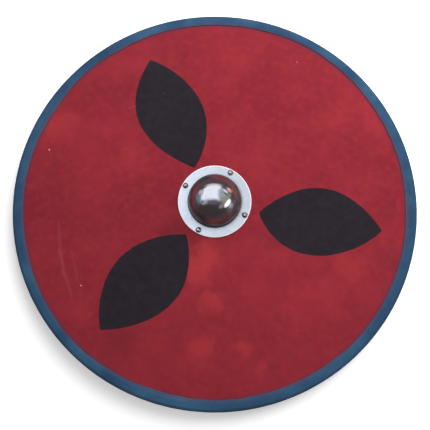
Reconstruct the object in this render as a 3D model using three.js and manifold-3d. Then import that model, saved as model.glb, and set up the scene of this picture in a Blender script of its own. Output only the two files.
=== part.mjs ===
// Round wooden shield, lying on its back with the boss up. Millimetres, +Z up.
// The origin is the middle of the grip's flat back, the lowest point of the shield.
// +Y runs along the grip and +Z out of the painted face.
import * as THREE from 'three';
import { mergeVertices } from 'three/addons/utils/BufferGeometryUtils.js';
import Module from 'manifold-3d';

const wasm = await Module();
wasm.setup();

// Air left between two pieces that touch
const gap = 0.3;

// Board
const shieldRadius = 410;
const boardThickness = 12;
const boardEdgeRound = 5;
const handHoleMargin = 0.8;

// Leather strip folded round the board's edge
const edgingThickness = 2;
const edgingWidth = 22.5;
const skivedThickness = 0.8;
const skiveRun = 7;

// Boss: spun steel, a dome on a short neck with a flat flange
const domeRadius = 54;
const domeRise = 55;
const neckFillet = 2;
const bossWall = 2;
const flangeWidth = 20.4;
const flangeEdgeRound = 0.7;

// Rivets, set by hand: degrees from +X for each
const rivetAngles = [3, 90, 180, 270];
const rivetEdgeDistance = 7;
const shankRadius = 2.5;
const headRadius = 5;
const headRise = 3.6;
const tailRadius = 5.5;
const tailThickness = 2;

// Grip: a bar with a rounded hand part and a thin pad at each end
const gripWidth = 30;
const gripHeight = 24;
const gripRound = 9;
const padThickness = 12;
const padBeyondRivet = 27.5;
const padTailRoom = 2;
const shoulderRun = 12;
const gripCornerRound = 11;

// Fineness of the round shapes
const discSides = 88;
const bossSides = 60;
const rivetSides = 12;
const holeSides = 12;

// Levels, from the grip's back up
const gripFront = gripHeight;
const boardBack = gripFront + gap;
const boardFace = boardBack + boardThickness;
const flangeBottom = boardFace + gap;
const flangeTop = flangeBottom + bossWall;

// Radii that follow from the sizes above
const boardRadius = shieldRadius - edgingThickness - gap;
const flangeRadius = domeRadius + flangeWidth;
const rivetCircle = flangeRadius - rivetEdgeDistance;
const domeInside = domeRadius - bossWall;
const handHoleRadius = domeInside - handHoleMargin;
const holeRadius = shankRadius + gap;

function material(color, roughness, metalness) {
  return new THREE.MeshStandardMaterial({ color, roughness, metalness });
}

// Points of an elliptic arc, angles in degrees from the first axis to the second
function arc(across, up, radiusAcross, radiusUp, from, to, steps) {
  const points = [];
  for (let i = 0; i <= steps; i += 1) {
    const angle = THREE.MathUtils.degToRad(from + ((to - from) * i) / steps);
    const x = across + radiusAcross * Math.cos(angle);
    const y = up + radiusUp * Math.sin(angle);
    points.push(new THREE.Vector2(Math.abs(x) < 1e-9 ? 0 : x, y));
  }
  return points;
}

function point(across, up) {
  return new THREE.Vector2(across, up);
}

// A profile of radius and height, turned about +Z
function turned(profile, sides) {
  const geometry = new THREE.LatheGeometry(profile, sides);
  geometry.rotateX(Math.PI / 2);
  return geometry;
}

function extruded(outline, depth) {
  const shape = new THREE.Shape(outline);
  return new THREE.ExtrudeGeometry(shape, { depth, bevelEnabled: false });
}

// Closed mesh to solid: shared corners merged, slivers on the axis dropped
function solidOf(geometry) {
  const bare = geometry.clone();
  bare.deleteAttribute('normal');
  bare.deleteAttribute('uv');
  const merged = mergeVertices(bare, 1e-4);
  const index = merged.index.array;
  const triangles = [];
  for (let i = 0; i < index.length; i += 3) {
    const [a, b, c] = [index[i], index[i + 1], index[i + 2]];
    if (a !== b && b !== c && c !== a) triangles.push(a, b, c);
  }
  const mesh = new wasm.Mesh({
    numProp: 3,
    vertProperties: new Float32Array(merged.attributes.position.array),
    triVerts: new Uint32Array(triangles),
  });
  return new wasm.Manifold(mesh);
}

function geometryOf(solid) {
  const mesh = solid.getMesh();
  const geometry = new THREE.BufferGeometry();
  geometry.setAttribute('position', new THREE.BufferAttribute(mesh.vertProperties, 3));
  geometry.setIndex(new THREE.BufferAttribute(mesh.triVerts, 1));
  geometry.computeVertexNormals();
  return geometry;
}

// Middle of each rivet on the flange
const rivetPlaces = rivetAngles.map((angle) => {
  const turn = THREE.MathUtils.degToRad(angle);
  return point(rivetCircle * Math.cos(turn), rivetCircle * Math.sin(turn));
});

// Drills a rivet hole right through a solid, for each place given
function drilled(solid, places) {
  let result = solid;
  const depth = flangeTop + 2 * gap;
  for (const place of places) {
    const drill = new THREE.CylinderGeometry(holeRadius, holeRadius, 2 * depth, holeSides);
    drill.rotateX(Math.PI / 2);
    drill.translate(place.x, place.y, depth);
    result = result.subtract(solidOf(drill));
  }
  return result;
}

function makeBoard() {
  const rim = boardRadius - boardEdgeRound;
  const round = boardEdgeRound;
  const profile = [
    point(handHoleRadius, boardBack),
    ...arc(rim, boardBack + round, round, round, -90, 0, 2),
    ...arc(rim, boardFace - round, round, round, 0, 90, 2),
    point(handHoleRadius, boardFace),
    point(handHoleRadius, boardBack),
  ];
  return geometryOf(drilled(solidOf(turned(profile, discSides)), rivetPlaces));
}

function makeEdging() {
  const rim = boardRadius - boardEdgeRound;
  const inner = boardEdgeRound + gap;
  const outer = inner + edgingThickness;
  const edge = shieldRadius - edgingWidth;
  const low = boardBack + boardEdgeRound;
  const high = boardFace - boardEdgeRound;
  const profile = [
    point(edge, boardBack - gap),
    point(edge, boardBack - gap - skivedThickness),
    point(edge + skiveRun, boardBack - gap - edgingThickness),
    ...arc(rim, low, outer, outer, -90, 0, 3),
    ...arc(rim, high, outer, outer, 0, 90, 3),
    point(edge + skiveRun, boardFace + gap + edgingThickness),
    point(edge, boardFace + gap + skivedThickness),
    point(edge, boardFace + gap),
    ...arc(rim, high, inner, inner, 90, 0, 2),
    ...arc(rim, low, inner, inner, 0, -90, 2),
    point(edge, boardBack - gap),
  ];
  return geometryOf(solidOf(turned(profile, discSides)));
}

function makeBoss() {
  const neckTop = flangeTop + neckFillet;
  const shoulder = domeRadius + neckFillet;
  const mouth = Math.max(domeInside - neckFillet, handHoleRadius);
  const profile = [
    ...arc(0, neckTop, domeInside, domeRise - bossWall, 90, 0, 9),
    point(mouth, flangeBottom),
    ...arc(flangeRadius - flangeEdgeRound, flangeBottom + flangeEdgeRound, flangeEdgeRound, flangeEdgeRound,
      -90, 0, 1),
    ...arc(flangeRadius - flangeEdgeRound, flangeTop - flangeEdgeRound, flangeEdgeRound, flangeEdgeRound,
      0, 90, 1),
    ...arc(shoulder, neckTop, neckFillet, neckFillet, -90, -180, 3),
    ...arc(0, neckTop, domeRadius, domeRise, 0, 90, 11).slice(1),
  ];
  return geometryOf(drilled(solidOf(turned(profile, bossSides)), rivetPlaces));
}

// One rivet: round head on the flange, shank, and a tail hammered flat under what it holds
function makeRivet(heldBottom) {
  const tailTop = heldBottom - gap;
  const tailBottom = tailTop - tailThickness;
  const headBottom = flangeTop + gap;
  const profile = [
    point(0, tailBottom),
    point(tailRadius - tailThickness / 2, tailBottom),
    point(tailRadius, tailBottom + tailThickness / 2),
    point(tailRadius, tailTop),
    point(shankRadius, tailTop),
    point(shankRadius, headBottom),
    ...arc(0, headBottom, headRadius, headRise, 0, 90, 4),
  ];
  return turned(profile, rivetSides);
}

const padStart = rivetCircle - tailRadius - padTailRoom;
const gripHalf = rivetCircle + padBeyondRivet;

// Lower outline of one half of the grip, from the hand part out to the pad: a smooth S
function shoulder(side) {
  const steps = 6;
  const points = [];
  for (let i = 0; i <= steps; i += 1) {
    const share = i / steps;
    const rise = (gripHeight - padThickness) * (0.5 - 0.5 * Math.cos(Math.PI * share));
    points.push(point(side * (padStart - shoulderRun + shoulderRun * share), rise));
  }
  return points;
}

function makeGrip() {
  const padBottom = gripHeight - padThickness;
  const side = extruded([
    ...shoulder(-1).reverse(),
    ...shoulder(1),
    point(gripHalf, padBottom),
    point(gripHalf, gripFront),
    point(-gripHalf, gripFront),
    point(-gripHalf, padBottom),
  ], gripWidth);
  side.rotateX(Math.PI / 2);
  side.rotateZ(Math.PI / 2);
  side.translate(-gripWidth / 2, 0, 0);

  const flat = gripWidth / 2 - gripRound;
  const section = extruded([
    ...arc(-flat, gripRound, gripRound, gripRound, 180, 270, 4),
    ...arc(flat, gripRound, gripRound, gripRound, 270, 360, 4),
    point(gripWidth / 2, gripFront + gripRound),
    point(-gripWidth / 2, gripFront + gripRound),
  ], 2 * gripHalf);
  section.rotateX(Math.PI / 2);
  section.translate(0, gripHalf, 0);

  const acrossEnd = gripWidth / 2 - gripCornerRound;
  const alongEnd = gripHalf - gripCornerRound;
  const plan = extruded([
    ...arc(acrossEnd, alongEnd, gripCornerRound, gripCornerRound, 0, 90, 4),
    ...arc(-acrossEnd, alongEnd, gripCornerRound, gripCornerRound, 90, 180, 4),
    ...arc(-acrossEnd, -alongEnd, gripCornerRound, gripCornerRound, 180, 270, 4),
    ...arc(acrossEnd, -alongEnd, gripCornerRound, gripCornerRound, 270, 360, 4),
  ], 3 * gripHeight);
  plan.translate(0, 0, -gripHeight);

  const bar = solidOf(side).intersect(solidOf(section)).intersect(solidOf(plan));
  return geometryOf(drilled(bar, rivetPlaces.filter((place) => holdsGrip(place))));
}

// The grip lies along Y, so the two rivets nearest that line pass through it
function holdsGrip(place) {
  return Math.abs(place.x) < gripWidth / 2;
}

function named(name, geometry, look) {
  const mesh = new THREE.Mesh(geometry, look);
  mesh.name = name;
  return mesh;
}

const redPaint = material(0x8c2c36, 0.75, 0);
const bluePaint = material(0x2f5076, 0.7, 0);
const steel = material(0xd7e1e8, 0.3, 1);
const darkSteel = material(0x9a9088, 0.25, 1);
const bareWood = material(0x9a7448, 0.65, 0);

const shield = new THREE.Group();
shield.add(named('board', makeBoard(), redPaint));
shield.add(named('rim_edging', makeEdging(), bluePaint));
shield.add(named('boss', makeBoss(), steel));
shield.add(named('grip', makeGrip(), bareWood));
rivetPlaces.forEach((place, i) => {
  const heldBottom = holdsGrip(place) ? gripFront - padThickness : boardBack;
  const rivet = named(`rivet_${i + 1}`, makeRivet(heldBottom), darkSteel);
  rivet.position.set(place.x, place.y, 0);
  shield.add(rivet);
});

export default shield;
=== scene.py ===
import math

import bmesh
import bpy
from mathutils import Matrix, Vector, noise


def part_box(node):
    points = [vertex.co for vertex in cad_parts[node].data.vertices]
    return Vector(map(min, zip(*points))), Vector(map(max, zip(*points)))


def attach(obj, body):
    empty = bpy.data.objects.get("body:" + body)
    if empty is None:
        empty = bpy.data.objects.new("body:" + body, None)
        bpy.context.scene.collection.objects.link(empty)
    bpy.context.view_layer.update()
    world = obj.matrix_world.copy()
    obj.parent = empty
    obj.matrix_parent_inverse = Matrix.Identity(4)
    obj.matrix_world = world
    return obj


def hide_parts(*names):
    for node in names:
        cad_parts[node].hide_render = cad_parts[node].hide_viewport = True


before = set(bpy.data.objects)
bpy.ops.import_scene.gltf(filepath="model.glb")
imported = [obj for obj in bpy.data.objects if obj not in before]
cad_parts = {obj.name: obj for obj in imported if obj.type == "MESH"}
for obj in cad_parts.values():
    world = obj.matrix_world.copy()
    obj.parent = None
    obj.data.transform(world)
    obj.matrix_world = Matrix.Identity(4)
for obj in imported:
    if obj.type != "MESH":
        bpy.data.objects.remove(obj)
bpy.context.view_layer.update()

# A wooden round shield lying on its back, boss up, seen from above. Metres, +Z up.
# The picture is turned against the shield's own axes: the grip lies along Y.
mm = 0.001
pictureTurn = math.radians(28.6)
fullTurn = 2 * math.pi
airGap = 0.3 * mm

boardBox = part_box("board")
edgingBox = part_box("rim_edging")
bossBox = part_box("boss")
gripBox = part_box("grip")
boardBack = boardBox[0].z
boardFace = boardBox[1].z
boardRadius = boardBox[1].y
shieldRadius = edgingBox[1].y
faceMiddle = Vector((0, 0, boardFace))
rivetNodes = [name for name in sorted(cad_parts) if name.startswith("rivet_")]
rivetSpots = [(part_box(name)[0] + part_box(name)[1]) / 2 for name in rivetNodes]
rivetHoleRadius = 2.8 * mm


# a place or direction in picture axes, turned into the shield's own axes
def fromPicture(across, up, out=0.0):
    return Matrix.Rotation(pictureTurn, 3, "Z") @ Vector((across, up, out))


# a place on the face, from its distance in mm and its turn in the picture in degrees
def pictureSpot(distance, turn):
    angle = math.radians(turn)
    return fromPicture(distance * mm * math.cos(angle), distance * mm * math.sin(angle))


def newObject(name, data):
    made = bpy.data.objects.new(name, data)
    bpy.context.scene.collection.objects.link(made)
    return made


# camera
cameraPlace = {
    "across": 3.9 * mm,
    "up": -253.2 * mm,
    "out": 1157.0 * mm,
    "tip": 0.192,
    "yaw": 0.0027,
    "lens": 48.93,
    "sensor": 36,
    "clipEnd": 60,
}


def placeCamera():
    data = bpy.data.cameras.new("pictureCamera")
    data.lens = cameraPlace["lens"]
    data.sensor_width = cameraPlace["sensor"]
    data.clip_end = cameraPlace["clipEnd"]
    camera = newObject("pictureCamera", data)
    turn = Matrix.Rotation(pictureTurn, 4, "Z")
    tip = Matrix.Rotation(cameraPlace["tip"], 4, "X")
    yaw = Matrix.Rotation(cameraPlace["yaw"], 4, "Y")
    spot = faceMiddle + fromPicture(cameraPlace["across"], cameraPlace["up"], cameraPlace["out"])
    camera.matrix_world = Matrix.Translation(spot) @ turn @ tip @ yaw
    bpy.context.scene.camera = camera


# the one studio light: direction in picture axes, distance and size in metres
overheadLight = {"toward": (0.55, 0.8, 0.85), "distance": 1.7, "size": (2.0, 2.0), "glow": 4.6}


def hangLight():
    plan = overheadLight
    data = bpy.data.lights.new("overhead", "AREA")
    data.shape = "RECTANGLE"
    data.size, data.size_y = plan["size"]
    # an area light's watts for a given glow of its surface
    data.energy = plan["glow"] * math.pi * data.size * data.size_y
    light = newObject("overhead", data)
    toward = fromPicture(*plan["toward"]).normalized()
    side = fromPicture(0, 1).cross(toward).normalized()
    light.location = faceMiddle + toward * plan["distance"]
    light.rotation_euler = Matrix((side, toward.cross(side), toward)).transposed().to_euler()
    light.visible_camera = False
    light.visible_glossy = False


# node helpers: a feed goes on the socket of its name as a value, or is linked to it
def feed(tree, made, feeds):
    for key, value in feeds.items():
        if isinstance(value, bpy.types.NodeSocket):
            tree.links.new(value, made.inputs[key])
        else:
            made.inputs[key].default_value = value
    return made


def add(tree, kind, feeds, **settings):
    made = tree.nodes.new(kind)
    for key, value in settings.items():
        setattr(made, key, value)
    return feed(tree, made, feeds)


def calc(tree, operation, first, second=0.0, clamp=False):
    feeds = {0: first, 1: second}
    return add(tree, "ShaderNodeMath", feeds, operation=operation, use_clamp=clamp).outputs[0]


def times(tree, *values):
    total = values[0]
    for value in values[1:]:
        total = calc(tree, "MULTIPLY", total, value)
    return total


def calcPlace(tree, operation, first, second=(0, 0, 0)):
    made = add(tree, "ShaderNodeVectorMath", {0: first, 1: second}, operation=operation)
    givesNumber = operation in ("DOT_PRODUCT", "LENGTH", "DISTANCE")
    return made.outputs["Value" if givesNumber else "Vector"]


def scaled(tree, place, size):
    feeds = {0: place, "Scale": size}
    return add(tree, "ShaderNodeVectorMath", feeds, operation="SCALE").outputs["Vector"]


def stretched(tree, place, scale, turn=0.0):
    feeds = {"Vector": place, "Rotation": (0, 0, turn), "Scale": scale}
    return add(tree, "ShaderNodeMapping", feeds).outputs["Vector"]


def turnedBack(tree, place, angle):
    feeds = {"Vector": place, "Angle": angle}
    made = add(tree, "ShaderNodeVectorRotate", feeds, rotation_type="Z_AXIS", invert=True)
    return made.outputs["Vector"]


def partsOf(tree, place):
    return add(tree, "ShaderNodeSeparateXYZ", {0: place}).outputs


def flatPlace(tree, place):
    return calcPlace(tree, "MULTIPLY", place, (1, 1, 0))


# how far a place lies toward a direction in the picture
def reach(tree, place, across, up):
    return calcPlace(tree, "DOT_PRODUCT", place, fromPicture(across, up))


# a value carried from one range to another: from, to and what it becomes at each
def spread(tree, value, low, high, toLow=0.0, toHigh=1.0, smooth=False):
    kind = "SMOOTHSTEP" if smooth else "LINEAR"
    feeds = {"Value": value, "From Min": low, "From Max": high, "To Min": toLow, "To Max": toHigh}
    return add(tree, "ShaderNodeMapRange", feeds, interpolation_type=kind).outputs["Result"]


def fade(tree, value, plan):
    return spread(tree, value, *plan, smooth=True)


def mixColour(tree, amount, first, second):
    return add(tree, "ShaderNodeMix", {0: amount, 6: first, 7: second}, data_type="RGBA").outputs[2]


# colours of a look laid one over another, each by its own amount
def layered(tree, tone, look, *layers):
    for amount, name in layers:
        tone = mixColour(tree, amount, tone, look[name])
    return tone


def noiseAt(tree, place, scale, detail, roughness=0.5, distortion=0.0, output="Fac"):
    feeds = {"Vector": place, "Scale": scale, "Detail": detail, "Roughness": roughness,
             "Distortion": distortion}
    return add(tree, "ShaderNodeTexNoise", feeds).outputs[output]


# an uneven distance, up to about as far as given either way
def strayBy(tree, place, scale, detail, farthest):
    uneven = calc(tree, "SUBTRACT", noiseAt(tree, place, scale, detail), 0.5)
    return times(tree, uneven, 2 * farthest)


# a place pushed about in its plane, so that what is drawn there has an uneven edge
def bentPlace(tree, place, scale, amount):
    uneven = noiseAt(tree, place, scale, 3.0, output="Color")
    bend = scaled(tree, calcPlace(tree, "SUBTRACT", uneven, (0.5, 0.5, 0.5)), amount)
    return flatPlace(tree, calcPlace(tree, "ADD", place, bend))


# a paint colour given as it is seen on a screen, 0 to 255, as a node wants it
def shade(red, green, blue):
    def linear(value):
        value /= 255
        return value / 12.92 if value <= 0.04045 else ((value + 0.055) / 1.055) ** 2.4
    return (linear(red), linear(green), linear(blue), 1.0)


# inputs are vectors, or numbers where a starting value is given, and outputs are numbers
def newGroup(name, inputs, outputs):
    group = bpy.data.node_groups.new(name, "ShaderNodeTree")
    for label, start in inputs.items():
        kind = "NodeSocketVector" if start is None else "NodeSocketFloat"
        socket = group.interface.new_socket(label, in_out="INPUT", socket_type=kind)
        if start is not None:
            socket.default_value = start
    for label in outputs:
        group.interface.new_socket(label, in_out="OUTPUT", socket_type="NodeSocketFloat")
    given = group.nodes.new("NodeGroupInput").outputs
    return group, given, group.nodes.new("NodeGroupOutput")


def useGroup(tree, group, feeds):
    made = tree.nodes.new("ShaderNodeGroup")
    made.node_tree = group
    return feed(tree, made, feeds).outputs


def newMaterial(name):
    material = bpy.data.materials.new(name)
    material.use_nodes = True
    tree = material.node_tree
    return material, tree, tree.nodes.new("ShaderNodeTexCoord").outputs["Object"]


# feeds for the shader itself, and a height for a bump of a given depth and strength
def finishLook(material, feeds, height, bump):
    tree = material.node_tree
    shader = feed(tree, tree.nodes["Principled BSDF"], feeds)
    made = add(tree, "ShaderNodeBump", {"Height": height, "Distance": bump[0], "Strength": bump[1]})
    tree.links.new(made.outputs["Normal"], shader.inputs["Normal"])
    return material


# what the polished boss mirrors, as soft shapes on a sky disc in picture axes: 0, 0 is straight up
# and 1 from it is the horizon. Spot and half size on that disc, turn in degrees, how soft its edge is
room = {"seen": (0.9, 0.9, 0.9, 1), "fill": (0.44, 0.44, 0.45, 1), "warp": 0.07, "warpScale": 7.0,
        "wall": (0.10, 0.075, 0.088, 1), "ground": (0.05, 0.036, 0.034, 1), "least": 0.05}
mirroredShapes = [
    {"spot": (0.95, -0.35), "size": (0.42, 0.30), "turn": -10, "soft": 0.9, "glow": (0.19, 0.18, 0.22)},
    {"spot": (-0.75, 0.10), "size": (0.20, 0.28), "turn": 0, "soft": 0.7, "glow": (0.20, 0.22, 0.28)},
    {"spot": (-0.03, 0.04), "size": (0.57, 0.56), "turn": 0, "soft": 0.10, "glow": (1.16, 1.24, 1.40)},
    {"spot": (0.44, 0.02), "size": (0.27, 0.26), "turn": 0, "soft": 0.35, "glow": (0.34, 0.37, 0.32)},
    {"spot": (0.62, 0.20), "size": (0.12, 0.08), "turn": 10, "soft": 0.6, "glow": (0.42, 0.40, 0.26)},
    {"spot": (-0.05, 0.60), "size": (0.30, 0.06), "turn": 0, "soft": 0.8, "glow": (0.85, 0.72, 0.80)},
    {"spot": (-0.62, 0.33), "size": (0.11, 0.10), "turn": 35, "soft": 0.7, "glow": (0.75, 0.62, 0.68)},
    {"spot": (-0.62, 0.03), "size": (0.05, 0.19), "turn": -12, "soft": 0.6, "glow": (0.30, 0.42, 0.62)},
    {"spot": (-0.50, 0.22), "size": (0.022, 0.12), "turn": -22, "soft": 0.8, "glow": (0.22, 0.25, 0.33)},
    {"spot": (0.31, 0.24), "size": (0.17, 0.21), "turn": -20, "soft": 0.5, "glow": (0.45, 0.52, 0.62)},
    {"spot": (0.38, 0.47), "size": (0.10, 0.09), "turn": -40, "soft": 0.6, "glow": (0.09, 0.08, 0.13)},
    {"spot": (0.46, 0.20), "size": (0.12, 0.05), "turn": -30, "soft": 0.6, "glow": (0.12, 0.13, 0.16)},
    {"spot": (0.45, 0.32), "size": (0.14, 0.045), "turn": -33, "soft": 0.5, "glow": (1.15, 1.0, 1.25)},
    {"spot": (0.66, 0.46), "size": (0.13, 0.10), "turn": 0, "soft": 0.6, "glow": (1.30, 0.78, 0.58)},
    {"spot": (0.85, 0.50), "size": (0.13, 0.08), "turn": 10, "soft": 0.8, "glow": (0.50, 0.20, 0.15)},
    {"spot": (0.69, 0.27), "size": (0.13, 0.05), "turn": 0, "soft": 0.7, "glow": (0.22, 0.19, 0.10)},
    {"spot": (-0.05, -0.62), "size": (0.66, 0.54), "turn": 0, "soft": 0.12, "glow": (0.05, 0.042, 0.044)},
    {"spot": (-0.10, -0.16), "size": (0.34, 0.09), "turn": -4, "soft": 0.9, "glow": (0.15, 0.13, 0.20)},
    {"spot": (-0.37, -0.15), "size": (0.10, 0.07), "turn": 20, "soft": 0.8, "glow": (0.50, 0.46, 0.55)},
    {"spot": (-0.52, -0.13), "size": (0.07, 0.08), "turn": 40, "soft": 0.8, "glow": (0.16, 0.20, 0.27)},
    {"spot": (0.29, -0.32), "size": (0.09, 0.11), "turn": -30, "soft": 0.7, "glow": (0.34, 0.27, 0.28)},
    {"spot": (0.82, -0.27), "size": (0.17, 0.12), "turn": -20, "soft": 0.8, "glow": (0.52, 0.49, 0.66)},
    {"spot": (0.585, -0.19), "size": (0.21, 0.10), "turn": 48, "soft": 0.35, "glow": (1.9, 1.9, 1.9)},
]


# a soft round shape on the sky disc, 1 inside it
def makeSoftShapeGroup():
    inputs = {"Place": None, "Spot": None, "Size": None, "Turn": 0.0, "Soft": 0.3}
    group, given, out = newGroup("softShape", inputs, ["Mask"])
    off = calcPlace(group, "SUBTRACT", given["Place"], given["Spot"])
    sized = calcPlace(group, "DIVIDE", turnedBack(group, off, given["Turn"]), given["Size"])
    away = calcPlace(group, "LENGTH", sized)
    low = calc(group, "SUBTRACT", 1.0, given["Soft"])
    high = calc(group, "ADD", 1.0, given["Soft"])
    feed(group, out, {"Mask": spread(group, away, low, high, 1.0, 0.0, smooth=True)})
    return group


def makeRoom():
    world = bpy.data.worlds.new("plainRoom")
    bpy.context.scene.world = world
    world.use_nodes = True
    tree = world.node_tree
    tree.nodes.clear()
    where = tree.nodes.new("ShaderNodeTexCoord").outputs["Generated"]
    toward = partsOf(tree, turnedBack(tree, where, pictureTurn))
    # the whole sky laid out on a disc, with the ground's pole kept off
    below = calc(tree, "MAXIMUM", calc(tree, "ADD", toward["Z"], 1.0), room["least"])
    disc = add(tree, "ShaderNodeCombineXYZ", {
        "X": calc(tree, "DIVIDE", toward["X"], below), "Y": calc(tree, "DIVIDE", toward["Y"], below)})
    flat = bentPlace(tree, disc.outputs[0], room["warpScale"], room["warp"])
    rising = spread(tree, partsOf(tree, flat)["Y"], -0.5, 0.5, smooth=True)
    mirrored = mixColour(tree, rising, room["ground"], room["wall"])
    softShape = makeSoftShapeGroup()
    for shape in mirroredShapes:
        mask = useGroup(tree, softShape, {
            "Place": flat, "Spot": (*shape["spot"], 0), "Size": (*shape["size"], 1),
            "Turn": math.radians(shape["turn"]), "Soft": shape["soft"]})["Mask"]
        mirrored = mixColour(tree, mask, mirrored, (*shape["glow"], 1))
    rays = tree.nodes.new("ShaderNodeLightPath").outputs
    tone = mixColour(tree, rays["Is Camera Ray"], room["fill"], room["seen"])
    plain = add(tree, "ShaderNodeBackground", {"Color": tone}).outputs[0]
    shapes = add(tree, "ShaderNodeBackground", {"Color": mirrored}).outputs[0]
    both = add(tree, "ShaderNodeMixShader", {0: rays["Is Glossy Ray"], 1: plain, 2: shapes})
    add(tree, "ShaderNodeOutputWorld", {"Surface": both.outputs[0]})


# shared surface effects: the greater a scale, the finer the marks
markShape = {
    "gritScale": 520.0,
    "scuffsOut": 260.0, "scuffsRound": 5.0, "scuffsSlant": 20.0, "scuffPlaces": 7.0,
    "grainScale": 5.0, "grainStretch": (1.0, 0.11, 1.0), "years": 42.0, "yearFade": 2.5,
    "fibreScale": 700.0, "fibreStretch": (1.0, 0.03, 1.0),
    "rubbing": (60.0, 1400.0, 300.0), "rubbingTurn": 0.5, "smearScale": 55.0,
}


# soft uneven patches, as brushed paint and handled leather have, and fine grit
def makePatchGroup():
    inputs = {"Place": None, "Scale": 20.0, "Detail": 3.0}
    group, given, out = newGroup("unevenPatches", inputs, ["Patches", "Grit"])
    soft = noiseAt(group, given["Place"], given["Scale"], given["Detail"])
    grit = noiseAt(group, given["Place"], markShape["gritScale"], 3.0, 0.6)
    feed(group, out, {"Patches": spread(group, soft, 0.3, 0.7), "Grit": spread(group, grit, 0.25, 0.75)})
    return group


def patchesAt(tree, groups, place, scale, detail=3.0):
    return useGroup(tree, groups["patches"], {"Place": place, "Scale": scale, "Detail": detail})


# thin rubbed lines that run round the shield
def makeScuffGroup():
    group, given, out = newGroup("rubbedLines", {"Place": None, "Amount": 0.5}, ["Scuffs"])
    parts = partsOf(group, given["Place"])
    angle = calc(group, "ARCTAN2", parts["Y"], parts["X"])
    radius = calcPlace(group, "LENGTH", flatPlace(group, given["Place"]))
    unrolled = add(group, "ShaderNodeCombineXYZ", {
        "X": times(group, radius, markShape["scuffsOut"]), "Y": times(group, angle, markShape["scuffsRound"]),
        "Z": times(group, radius, markShape["scuffsSlant"])})
    lines = noiseAt(group, unrolled.outputs[0], 1.0, 2.0, distortion=0.6)
    where = noiseAt(group, given["Place"], markShape["scuffPlaces"], 1.0)
    thin = spread(group, lines, 0.6, 0.72)
    sparse = spread(group, where, 0.52, 0.68)
    feed(group, out, {"Scuffs": times(group, thin, sparse, given["Amount"])})
    return group


# wood grain along Y: year rings, which darken slowly and end sharply, and fine fibres
def makeGrainGroup():
    group, given, out = newGroup("woodGrain", {"Place": None, "Scale": 1.0}, ["Figure", "Fibres"])
    sized = scaled(group, given["Place"], given["Scale"])
    drawn = stretched(group, sized, markShape["grainStretch"])
    sway = noiseAt(group, drawn, markShape["grainScale"], 3.0, 0.35)
    years = calc(group, "FRACT", times(group, sway, markShape["years"]))
    darkening = calc(group, "POWER", years, markShape["yearFade"])
    fine = stretched(group, sized, markShape["fibreStretch"])
    fibre = noiseAt(group, fine, markShape["fibreScale"], 3.0, 0.65)
    feed(group, out, {"Figure": times(group, darkening, spread(group, years, 0.93, 1.0, 1.0, 0.0)),
                      "Fibres": spread(group, fibre, 0.3, 0.7)})
    return group


# fine rubbing marks and smears on steel
def makeSteelGroup():
    group, given, out = newGroup("handledSteel", {"Place": None}, ["Rubbing", "Smears"])
    across = stretched(group, given["Place"], markShape["rubbing"], markShape["rubbingTurn"])
    rub = noiseAt(group, across, 1.0, 3.0)
    smear = noiseAt(group, given["Place"], markShape["smearScale"], 4.0, distortion=0.8)
    feed(group, out, {"Rubbing": spread(group, rub, 0.3, 0.7), "Smears": spread(group, smear, 0.3, 0.7)})
    return group


# the painted pattern: three leaves, drawn by hand, so each side has a shape of its own
# tips: distance from the middle in mm and turn in the picture in degrees
# left and right side: bulge in mm, how full its ends are (1 pointed, 0.5 round), lean outward
leaves = [
    {"inner": (88.7, -129.8), "outer": (338.9, -131.0),
     "left": (70.2, 0.93, -0.127), "right": (67.7, 0.91, 0.009)},
    {"inner": (92.3, -14.2), "outer": (340.1, -10.1),
     "left": (68.8, 0.97, 0.019), "right": (70.6, 0.79, -0.175)},
    {"inner": (81.7, 120.5), "outer": (336.2, 114.0),
     "left": (70.6, 0.94, 0.120), "right": (64.7, 0.88, -0.097)},
]
leafBrush = {"wander": 0.9 * mm, "wanderScale": 22.0, "shake": 0.5 * mm, "shakeScale": 260.0,
             "edge": 0.45 * mm, "slope": 0.82, "tipSlope": 0.1}


# how far inside one leaf a place is, in metres, below 0 outside it
def makeLeafGroup():
    inputs = {"Place": None, "Middle": None, "Along": None, "Across": None, "Half Length": 0.1,
              "Left Side": None, "Right Side": None}
    group, given, out = newGroup("handDrawnLeaf", inputs, ["Inside"])
    off = calcPlace(group, "SUBTRACT", given["Place"], given["Middle"])
    along = calcPlace(group, "DOT_PRODUCT", off, given["Along"])
    along = calc(group, "DIVIDE", along, given["Half Length"])
    across = calcPlace(group, "DOT_PRODUCT", off, given["Across"])
    taper = calc(group, "SUBTRACT", 1.0, times(group, along, along))
    within = calc(group, "MAXIMUM", taper, 0.0)
    sides = []
    for label, way in (("Left Side", -1.0), ("Right Side", 1.0)):
        bulge = partsOf(group, given[label])
        lean = calc(group, "ADD", 1.0, times(group, bulge["Z"], along))
        width = times(group, bulge["X"], calc(group, "POWER", within, bulge["Y"]), lean)
        sides.append(calc(group, "ADD", width, times(group, across, way)))
    # the sides slope against the leaf's line, so the way to them is a little shorter than the width
    inside = times(group, calc(group, "MINIMUM", sides[0], sides[1]), leafBrush["slope"])
    beyondTips = times(group, calc(group, "MINIMUM", taper, 0.0), leafBrush["tipSlope"])
    feed(group, out, {"Inside": calc(group, "ADD", inside, beyondTips)})
    return group


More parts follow.
